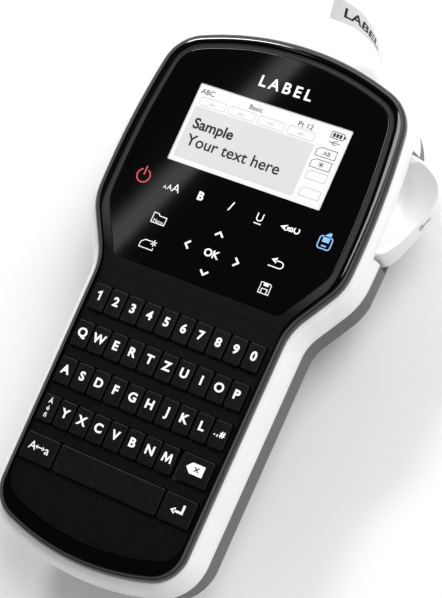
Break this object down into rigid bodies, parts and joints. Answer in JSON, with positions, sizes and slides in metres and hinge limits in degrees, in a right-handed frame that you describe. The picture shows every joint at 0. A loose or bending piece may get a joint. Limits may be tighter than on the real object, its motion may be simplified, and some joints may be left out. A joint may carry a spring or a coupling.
{
  "type": "handheld label maker",
  "caption": "Handheld electronic label maker: wide display head, narrow keypad grip with sprung keys, side cutter lever, hinged cassette door and a curl of printed label.",
  "frame": {"origin": "middle of the cassette door's flat back, which the head end rests on", "axes": "+X to the device's right, where the cutter lever is; +Y towards the head end, where the label leaves; +Z the way the keys and display face"},
  "size_m": [0.1187, 0.2317, 0.0506],
  "materials": {
    "bezel_gloss": "high gloss",
    "plate_matt": "fine satin grain",
    "lens_gloss": "polished window, black printed on its back",
    "silicone": "matt",
    "board": "solder mask",
    "shell_pearl": "pearl, semi-gloss",
    "shell_grey": "fine spark texture",
    "battery_wrap": "shrink wrap",
    "mechanism_steel": "plated",
    "roller_rubber": "ground",
    "gear_nylon": "moulded",
    "blade_steel": "ground edge",
    "cassette_grey": "moulded",
    "label_white": "laminated satin",
    "screw_steel": "zinc plated",
    "key_matt": "soft satin"
  },
  "bodies": {
    "housing": {"front_bezel": "bezel_gloss", "keypad_plate": "plate_matt", "display_lens": "lens_gloss", "keypad_mat": "silicone", "circuit_board": "board", "side_shell": "shell_pearl", "rear_shell": "shell_grey", "print_mechanism": "mechanism_steel", "screws": "screw_steel", "battery_pack": "battery_wrap", "tape_cassette": "cassette_grey", "label_tape": "label_white"},
    "cutter_lever": {"cutter_lever": "shell_pearl"},
    "cutter_blade": {"cutter_blade": "blade_steel"},
    "cassette_door": {"cassette_door": "shell_grey"},
    "battery_door": {"battery_door": "shell_grey"},
    "platen_roller": {"platen_roller": "roller_rubber"},
    "drive_pinion": {"drive_pinion": "gear_nylon"},
    "key_1": {"key_1": "key_matt"},
    "key_2": {"key_2": "key_matt"},
    "key_3": {"key_3": "key_matt"},
    "key_4": {"key_4": "key_matt"},
    "key_5": {"key_5": "key_matt"},
    "key_6": {"key_6": "key_matt"},
    "key_7": {"key_7": "key_matt"},
    "key_8": {"key_8": "key_matt"},
    "key_9": {"key_9": "key_matt"},
    "key_0": {"key_0": "key_matt"},
    "key_q": {"key_q": "key_matt"},
    "key_w": {"key_w": "key_matt"},
    "key_e": {"key_e": "key_matt"},
    "key_r": {"key_r": "key_matt"},
    "key_t": {"key_t": "key_matt"},
    "key_z": {"key_z": "key_matt"},
    "key_u": {"key_u": "key_matt"},
    "key_i": {"key_i": "key_matt"},
    "key_o": {"key_o": "key_matt"},
    "key_p": {"key_p": "key_matt"},
    "key_a": {"key_a": "key_matt"},
    "key_s": {"key_s": "key_matt"},
    "key_d": {"key_d": "key_matt"},
    "key_f": {"key_f": "key_matt"},
    "key_g": {"key_g": "key_matt"},
    "key_h": {"key_h": "key_matt"},
    "key_j": {"key_j": "key_matt"},
    "key_k": {"key_k": "key_matt"},
    "key_l": {"key_l": "key_matt"},
    "key_symbol": {"key_symbol": "key_matt"},
    "key_accent": {"key_accent": "key_matt"},
    "key_y": {"key_y": "key_matt"},
    "key_x": {"key_x": "key_matt"},
    "key_c": {"key_c": "key_matt"},
    "key_v": {"key_v": "key_matt"},
    "key_b": {"key_b": "key_matt"},
    "key_n": {"key_n": "key_matt"},
    "key_m": {"key_m": "key_matt"},
    "key_backspace": {"key_backspace": "key_matt"},
    "key_caps": {"key_caps": "key_matt"},
    "key_space": {"key_space": "key_matt"},
    "key_enter": {"key_enter": "key_matt"}
  },
  "joints": [
    {"name": "cutter_swing", "type": "hinge", "parent": "housing", "child": "cutter_lever", "pos_m": [0.0475, -0.019, 0.035], "axis": [0, 0, 1], "range_deg": [0, 6], "stiffness_Nm_per_rad": 0.8},
    {"name": "blade_stroke", "type": "slide", "parent": "housing", "child": "cutter_blade", "axis": [-1, 0, 0], "range_m": [0, 0.0046]},
    {"name": "cassette_door_hinge", "type": "hinge", "parent": "housing", "child": "cassette_door", "pos_m": [0, -0.0252, 0.002], "axis": [-1, 0, 0], "range_deg": [0, 95]},
    {"name": "battery_door_slide", "type": "slide", "parent": "housing", "child": "battery_door", "axis": [0, -1, 0], "range_m": [0, 0.06]},
    {"name": "platen_spin", "type": "hinge", "parent": "housing", "child": "platen_roller", "pos_m": [0.0194, 0.017, 0.02], "axis": [0, 0, 1], "continuous": true},
    {"name": "pinion_spin", "type": "hinge", "parent": "housing", "child": "drive_pinion", "pos_m": [0.0084, 0.017, 0.026], "axis": [0, 0, 1], "continuous": true},
    {"name": "key_1_press", "type": "slide", "parent": "housing", "child": "key_1", "axis": [0, 0, -1], "range_m": [0, 0.001], "stiffness_N_per_m": 400},
    {"name": "key_2_press", "type": "slide", "parent": "housing", "child": "key_2", "axis": [0, 0, -1], "range_m": [0, 0.001], "stiffness_N_per_m": 400},
    {"name": "key_3_press", "type": "slide", "parent": "housing", "child": "key_3", "axis": [0, 0, -1], "range_m": [0, 0.001], "stiffness_N_per_m": 400},
    {"name": "key_4_press", "type": "slide", "parent": "housing", "child": "key_4", "axis": [0, 0, -1], "range_m": [0, 0.001], "stiffness_N_per_m": 400},
    {"name": "key_5_press", "type": "slide", "parent": "housing", "child": "key_5", "axis": [0, 0, -1], "range_m": [0, 0.001], "stiffness_N_per_m": 400},
    {"name": "key_6_press", "type": "slide", "parent": "housing", "child": "key_6", "axis": [0, 0, -1], "range_m": [0, 0.001], "stiffness_N_per_m": 400},
    {"name": "key_7_press", "type": "slide", "parent": "housing", "child": "key_7", "axis": [0, 0, -1], "range_m": [0, 0.001], "stiffness_N_per_m": 400},
    {"name": "key_8_press", "type": "slide", "parent": "housing", "child": "key_8", "axis": [0, 0, -1], "range_m": [0, 0.001], "stiffness_N_per_m": 400},
    {"name": "key_9_press", "type": "slide", "parent": "housing", "child": "key_9", "axis": [0, 0, -1], "range_m": [0, 0.001], "stiffness_N_per_m": 400},
    {"name": "key_0_press", "type": "slide", "parent": "housing", "child": "key_0", "axis": [0, 0, -1], "range_m": [0, 0.001], "stiffness_N_per_m": 400},
    {"name": "key_q_press", "type": "slide", "parent": "housing", "child": "key_q", "axis": [0, 0, -1], "range_m": [0, 0.001], "stiffness_N_per_m": 400},
    {"name": "key_w_press", "type": "slide", "parent": "housing", "child": "key_w", "axis": [0, 0, -1], "range_m": [0, 0.001], "stiffness_N_per_m": 400},
    {"name": "key_e_press", "type": "slide", "parent": "housing", "child": "key_e", "axis": [0, 0, -1], "range_m": [0, 0.001], "stiffness_N_per_m": 400},
    {"name": "key_r_press", "type": "slide", "parent": "housing", "child": "key_r", "axis": [0, 0, -1], "range_m": [0, 0.001], "stiffness_N_per_m": 400},
    {"name": "key_t_press", "type": "slide", "parent": "housing", "child": "key_t", "axis": [0, 0, -1], "range_m": [0, 0.001], "stiffness_N_per_m": 400},
    {"name": "key_z_press", "type": "slide", "parent": "housing", "child": "key_z", "axis": [0, 0, -1], "range_m": [0, 0.001], "stiffness_N_per_m": 400},
    {"name": "key_u_press", "type": "slide", "parent": "housing", "child": "key_u", "axis": [0, 0, -1], "range_m": [0, 0.001], "stiffness_N_per_m": 400},
    {"name": "key_i_press", "type": "slide", "parent": "housing", "child": "key_i", "axis": [0, 0, -1], "range_m": [0, 0.001], "stiffness_N_per_m": 400},
    {"name": "key_o_press", "type": "slide", "parent": "housing", "child": "key_o", "axis": [0, 0, -1], "range_m": [0, 0.001], "stiffness_N_per_m": 400},
    {"name": "key_p_press", "type": "slide", "parent": "housing", "child": "key_p", "axis": [0, 0, -1], "range_m": [0, 0.001], "stiffness_N_per_m": 400},
    {"name": "key_a_press", "type": "slide", "parent": "housing", "child": "key_a", "axis": [0, 0, -1], "range_m": [0, 0.001], "stiffness_N_per_m": 400},
    {"name": "key_s_press", "type": "slide", "parent": "housing", "child": "key_s", "axis": [0, 0, -1], "range_m": [0, 0.001], "stiffness_N_per_m": 400},
    {"name": "key_d_press", "type": "slide", "parent": "housing", "child": "key_d", "axis": [0, 0, -1], "range_m": [0, 0.001], "stiffness_N_per_m": 400},
    {"name": "key_f_press", "type": "slide", "parent": "housing", "child": "key_f", "axis": [0, 0, -1], "range_m": [0, 0.001], "stiffness_N_per_m": 400},
    {"name": "key_g_press", "type": "slide", "parent": "housing", "child": "key_g", "axis": [0, 0, -1], "range_m": [0, 0.001], "stiffness_N_per_m": 400},
    {"name": "key_h_press", "type": "slide", "parent": "housing", "child": "key_h", "axis": [0, 0, -1], "range_m": [0, 0.001], "stiffness_N_per_m": 400},
    {"name": "key_j_press", "type": "slide", "parent": "housing", "child": "key_j", "axis": [0, 0, -1], "range_m": [0, 0.001], "stiffness_N_per_m": 400},
    {"name": "key_k_press", "type": "slide", "parent": "housing", "child": "key_k", "axis": [0, 0, -1], "range_m": [0, 0.001], "stiffness_N_per_m": 400},
    {"name": "key_l_press", "type": "slide", "parent": "housing", "child": "key_l", "axis": [0, 0, -1], "range_m": [0, 0.001], "stiffness_N_per_m": 400},
    {"name": "key_symbol_press", "type": "slide", "parent": "housing", "child": "key_symbol", "axis": [0, 0, -1], "range_m": [0, 0.001], "stiffness_N_per_m": 400},
    {"name": "key_accent_press", "type": "slide", "parent": "housing", "child": "key_accent", "axis": [0, 0, -1], "range_m": [0, 0.001], "stiffness_N_per_m": 400},
    {"name": "key_y_press", "type": "slide", "parent": "housing", "child": "key_y", "axis": [0, 0, -1], "range_m": [0, 0.001], "stiffness_N_per_m": 400},
    {"name": "key_x_press", "type": "slide", "parent": "housing", "child": "key_x", "axis": [0, 0, -1], "range_m": [0, 0.001], "stiffness_N_per_m": 400},
    {"name": "key_c_press", "type": "slide", "parent": "housing", "child": "key_c", "axis": [0, 0, -1], "range_m": [0, 0.001], "stiffness_N_per_m": 400},
    {"name": "key_v_press", "type": "slide", "parent": "housing", "child": "key_v", "axis": [0, 0, -1], "range_m": [0, 0.001], "stiffness_N_per_m": 400},
    {"name": "key_b_press", "type": "slide", "parent": "housing", "child": "key_b", "axis": [0, 0, -1], "range_m": [0, 0.001], "stiffness_N_per_m": 400},
    {"name": "key_n_press", "type": "slide", "parent": "housing", "child": "key_n", "axis": [0, 0, -1], "range_m": [0, 0.001], "stiffness_N_per_m": 400},
    {"name": "key_m_press", "type": "slide", "parent": "housing", "child": "key_m", "axis": [0, 0, -1], "range_m": [0, 0.001], "stiffness_N_per_m": 400},
    {"name": "key_backspace_press", "type": "slide", "parent": "housing", "child": "key_backspace", "axis": [0, 0, -1], "range_m": [0, 0.001], "stiffness_N_per_m": 400},
    {"name": "key_caps_press", "type": "slide", "parent": "housing", "child": "key_caps", "axis": [0, 0, -1], "range_m": [0, 0.001], "stiffness_N_per_m": 400},
    {"name": "key_space_press", "type": "slide", "parent": "housing", "child": "key_space", "axis": [0, 0, -1], "range_m": [0, 0.001], "stiffness_N_per_m": 600},
    {"name": "key_enter_press", "type": "slide", "parent": "housing", "child": "key_enter", "axis": [0, 0, -1], "range_m": [0, 0.001], "stiffness_N_per_m": 400}
  ],
  "couplings": [
    {"joint": "blade_stroke", "follows": "cutter_swing", "m_per_rad": 0.043},
    {"joint": "pinion_spin", "follows": "platen_spin", "ratio": -2.1429}
  ]
}
